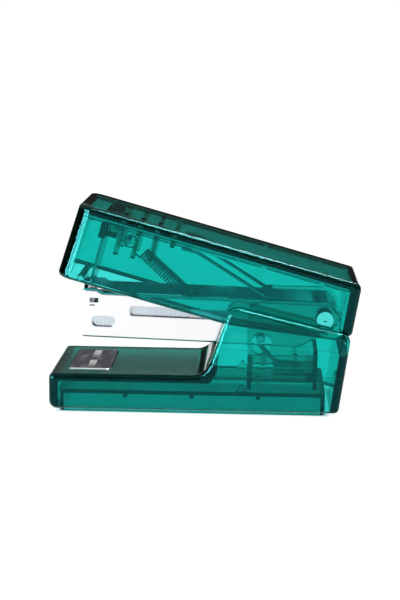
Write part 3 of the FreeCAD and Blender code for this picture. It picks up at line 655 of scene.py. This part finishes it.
@dataclass
class PusherSpring:
    """Tension spring: a long upper hook, wound turns with a little gap, and a lower eye."""

    wire: float = 0.4
    outer: float = 3.0
    eye: float = 1.3
    hook_centre: float = 0.5
    hook_reach: float = 2.4
    hook_bend: float = 0.9
    turns: int = 21
    lower: tuple[float, float] = (-2.935, 22.425)
    wire_sides: int = 8
    turn_steps: int = 20
    eye_steps: int = 28
    smooth_below: float = 60.0
    finish: PlatedSteel = PlatedSteel("spring_wire", (0.62, 0.64, 0.66), (0.40, 0.42, 0.44), 0.18)

    def build(self) -> bpy.types.Object:
        """Return the spring, running from the anchor pin to the follower's hook."""
        low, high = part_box("spring_anchor")
        upper = Vector(((low.x + high.x) / 2, 0, (low.z + high.z) / 2))
        lower = Vector((self.lower[0], 0, self.lower[1])) * MM
        along = lower - upper
        length = along.length / MM
        mean = (self.outer - self.wire) / 2
        hook = self.hook_centre + self.eye
        start = hook + self.hook_reach
        end = length - self.eye + self.wire / 2
        coil = self.winding(mean, start, (end - start) / self.turns)
        parts = [
            self.loop(self.hook_centre, 0.0),
            self.loop(length, math.pi / 2),
            self.run((0, 0, hook), (mean, 0, hook + self.hook_bend)),
            self.run((mean, 0, hook + self.hook_bend), (mean, 0, start)),
            self.run((mean, 0, end), (0, 0, end + self.wire)),
        ]
        Bench.only(coil)
        for part in parts:
            part.select_set(True)
        bpy.ops.object.join()
        turn = Matrix.Rotation(math.atan2(along.x, along.z), 4, "Y")
        coil.data.transform(Matrix.Translation(upper) @ turn)
        coil.name = "tension_spring"
        Bench.smooth(coil, self.smooth_below)
        Bench.dress(coil, self.finish.build())
        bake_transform(coil)
        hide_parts("pusher_spring")
        return coil

    def winding(self, mean: float, start: float, pitch: float) -> bpy.types.Object:
        """Return the wound turns along Z.

        Args:
            mean: radius of the wire's middle.
            start: height of the first turn.
            pitch: rise of one turn.

        Returns:
            The coil, its place in its mesh.
        """
        Bench.clear()
        bpy.ops.mesh.primitive_circle_add(
            vertices=self.wire_sides, radius=self.wire / 2 * MM,
            location=(mean * MM, 0, 0), rotation=(math.pi / 2, 0, 0),
        )
        coil = bpy.context.object
        Bench.settle(coil)
        Bench.apply(coil, "SCREW", {
            "axis": "Z",
            "angle": math.tau,
            "screw_offset": pitch * MM,
            "iterations": self.turns,
            "steps": self.turn_steps,
            "render_steps": self.turn_steps,
            "use_merge_vertices": False,
        })
        coil.data.transform(Matrix.Translation((0, 0, start * MM)))
        return coil

    def loop(self, height: float, turn: float) -> bpy.types.Object:
        """Return one closed eye, upright at this height, turned round the spring's axis."""
        Bench.clear()
        bpy.ops.mesh.primitive_torus_add(
            major_radius=self.eye * MM, minor_radius=self.wire / 2 * MM,
            major_segments=self.eye_steps, minor_segments=self.wire_sides,
        )
        loop = bpy.context.object
        stand = Matrix.Rotation(turn, 4, "Z") @ Matrix.Rotation(math.pi / 2, 4, "X")
        loop.data.transform(Matrix.Translation((0, 0, height * MM)) @ stand)
        return loop

    def run(self, first: Point, last: Point) -> bpy.types.Object:
        """Return a straight run of wire between two points."""
        a, b = Vector(first) * MM, Vector(last) * MM
        Bench.clear()
        bpy.ops.mesh.primitive_cylinder_add(
            vertices=self.wire_sides, radius=self.wire / 2 * MM, depth=(b - a).length,
            end_fill_type="TRIFAN",
        )
        wire = bpy.context.object
        up = Vector((0, 0, 1))
        turn = up.rotation_difference((b - a).normalized()).to_matrix().to_4x4()
        wire.data.transform(Matrix.Translation((a + b) / 2) @ turn)
        return wire


@dataclass
class SmallPieces:
    """The black block on the blade, the clear bracket behind it, and the axle."""

    block: DullPlastic = DullPlastic("black_moulding")
    bracket: ClearPlastic = ClearPlastic("clear_bracket", density=900.0)
    axle: PlatedSteel = PlatedSteel("axle_plate", (0.97, 0.97, 0.98), (0.88, 0.89, 0.90),
                                    0.12, 0.0006)

    def build(self) -> list[bpy.types.Object]:
        """Return the three pieces, each in place of its frame piece."""
        rows = (
            ("blade_block", "block", Body.COVER, Slot.BLACK, self.block),
            ("anchor_bracket", "bracket", Body.COVER, Slot.BRACKET, self.bracket),
            ("hinge_axle", "axle", Body.BASE, Slot.AXLE, self.axle),
        )
        return [Bench.stand_in(*row, finish.build()) for *row, finish in rows]


# ---- studio --------------------------------------------------------------------------
@dataclass(frozen=True)
class SoftBox:
    """A rectangular lamp, seen in reflections only; its lengths are in metres."""

    name: str
    place: Point
    look: Point
    size: tuple[float, float]
    radiance: float

    def build(self) -> None:
        """Add the lamp; radiance is how bright its face is, with white paper at 1."""
        width, height = self.size
        data = bpy.data.lights.new(self.name, "AREA")
        data.shape = "RECTANGLE"
        data.size, data.size_y = width, height
        data.energy = self.radiance * math.pi * width * height
        lamp = bpy.data.objects.new(self.name, data)
        lamp.location = self.place
        lamp.rotation_mode = "QUATERNION"
        lamp.rotation_quaternion = (Vector(self.look) - Vector(self.place)).to_track_quat("-Z", "Y")
        lamp.visible_diffuse = False
        lamp.visible_transmission = False
        bpy.context.scene.collection.objects.link(lamp)


@dataclass
class Studio:
    """Pale table, white surround, soft lamps and the camera."""

    azimuth: float = 2.55
    elevation: float = 11.428
    roll: float = 0.471
    lens: float = 81.397
    distance: float = 288.995
    aim: Point = (-1.327, 0.0, 21.789)
    clip: tuple[float, float] = (0.01, 100.0)
    table_side: float = 60.0
    table_drop: float = 0.02
    diffuse_level: float = 0.12
    room: tuple[tuple[float, float], ...] = (
        (0.0, 0.02), (0.178, 0.03), (0.205, 0.22), (0.45, 0.4), (1.0, 0.8),
    )
    lamps: tuple[SoftBox, ...] = (
        SoftBox("box_over", (0.14, -0.02, 0.5), (0.01, 0, 0.03), (0.5, 0.12), 16.0),
        SoftBox("box_front", (-0.127, -0.136, 0.05), (-0.033, -0.011, 0.04), (0.133, 0.10), 15.0),
    )
    clear_bounces: int = 32
    glossy_bounces: int = 8
    diffuse_bounces: int = 4
    clamp: float = 6.0

    def table(self) -> None:
        """Make the table top, its side in metres, a hair below the stapler's foot."""
        Bench.clear()
        drop = (0, 0, -self.table_drop * MM)
        bpy.ops.mesh.primitive_plane_add(size=self.table_side, location=drop)
        top = bpy.context.object
        top.name = "table_top"
        Bench.settle(top)
        Bench.dress(top, PaleTable().build())

    def surround(self) -> None:
        """Make the surround: plain white to the eye, but a room dark at its foot in reflections."""
        world = bpy.data.worlds.new("studio")
        bpy.context.scene.world = world
        world.use_nodes = True
        w = Nodes(world.node_tree, "ShaderNodeOutputWorld")
        white = {"Color": (*WHITE, 1.0)}
        place = w.node("ShaderNodeTexCoord", out="Generated")
        rise = w.node("ShaderNodeSeparateXYZ", None, {"Vector": place}, out="Z")
        stops = [(at, (level, level, level)) for at, level in self.room]
        tone = w.node("ShaderNodeValToRGB", {"stops": stops}, {"Fac": rise})
        room = w.node("ShaderNodeBackground", None, {"Color": tone})
        faint = w.node("ShaderNodeBackground", None, {**white, "Strength": self.diffuse_level})
        plain = w.node("ShaderNodeBackground", None, white)
        diffuse = w.node("ShaderNodeLightPath", out="Is Diffuse Ray")
        direct = w.node("ShaderNodeLightPath", out="Is Camera Ray")
        unseen = w.node("ShaderNodeMixShader", None, {0: diffuse, 1: room, 2: faint})
        w.send(w.node("ShaderNodeMixShader", None, {0: direct, 1: unseen, 2: plain}))

    def camera(self) -> None:
        """Place the camera."""
        a, e = math.radians(self.azimuth), math.radians(self.elevation)
        back = Vector((math.sin(a) * math.cos(e), -math.cos(a) * math.cos(e), math.sin(e)))
        data = bpy.data.cameras.new("view")
        data.lens = self.lens
        data.clip_start, data.clip_end = self.clip
        camera = bpy.data.objects.new("view", data)
        camera.location = Vector(self.aim) * MM + back * self.distance * MM
        camera.rotation_mode = "QUATERNION"
        level = (-back).to_track_quat("-Z", "Y")
        camera.rotation_quaternion = level @ Quaternion((0, 0, 1), math.radians(self.roll))
        bpy.context.scene.collection.objects.link(camera)
        bpy.context.scene.camera = camera

    def build(self) -> None:
        """Make everything around the stapler."""
        self.table()
        self.surround()
        for lamp in self.lamps:
            lamp.build()
        self.camera()
        scene = bpy.context.scene
        scene.view_settings.view_transform = "Standard"
        scene.cycles.max_bounces = self.clear_bounces
        scene.cycles.transmission_bounces = self.clear_bounces
        scene.cycles.glossy_bounces = self.glossy_bounces
        scene.cycles.diffuse_bounces = self.diffuse_bounces
        scene.cycles.sample_clamp_indirect = self.clamp


def main() -> None:
    """Build the studio and every piece in order."""
    logging.basicConfig(level=logging.INFO, format="%(name)s: %(message)s")
    Studio().build()
    made = []
    made += Shells().build()
    made += Steel().build()
    made += Leaves().build()
    made.append(PusherSpring().build())
    made += SmallPieces().build()
    for piece in made:
        LOG.info("%s: %d faces", piece.name, len(piece.data.polygons))


if __name__ == "__main__":
    main()
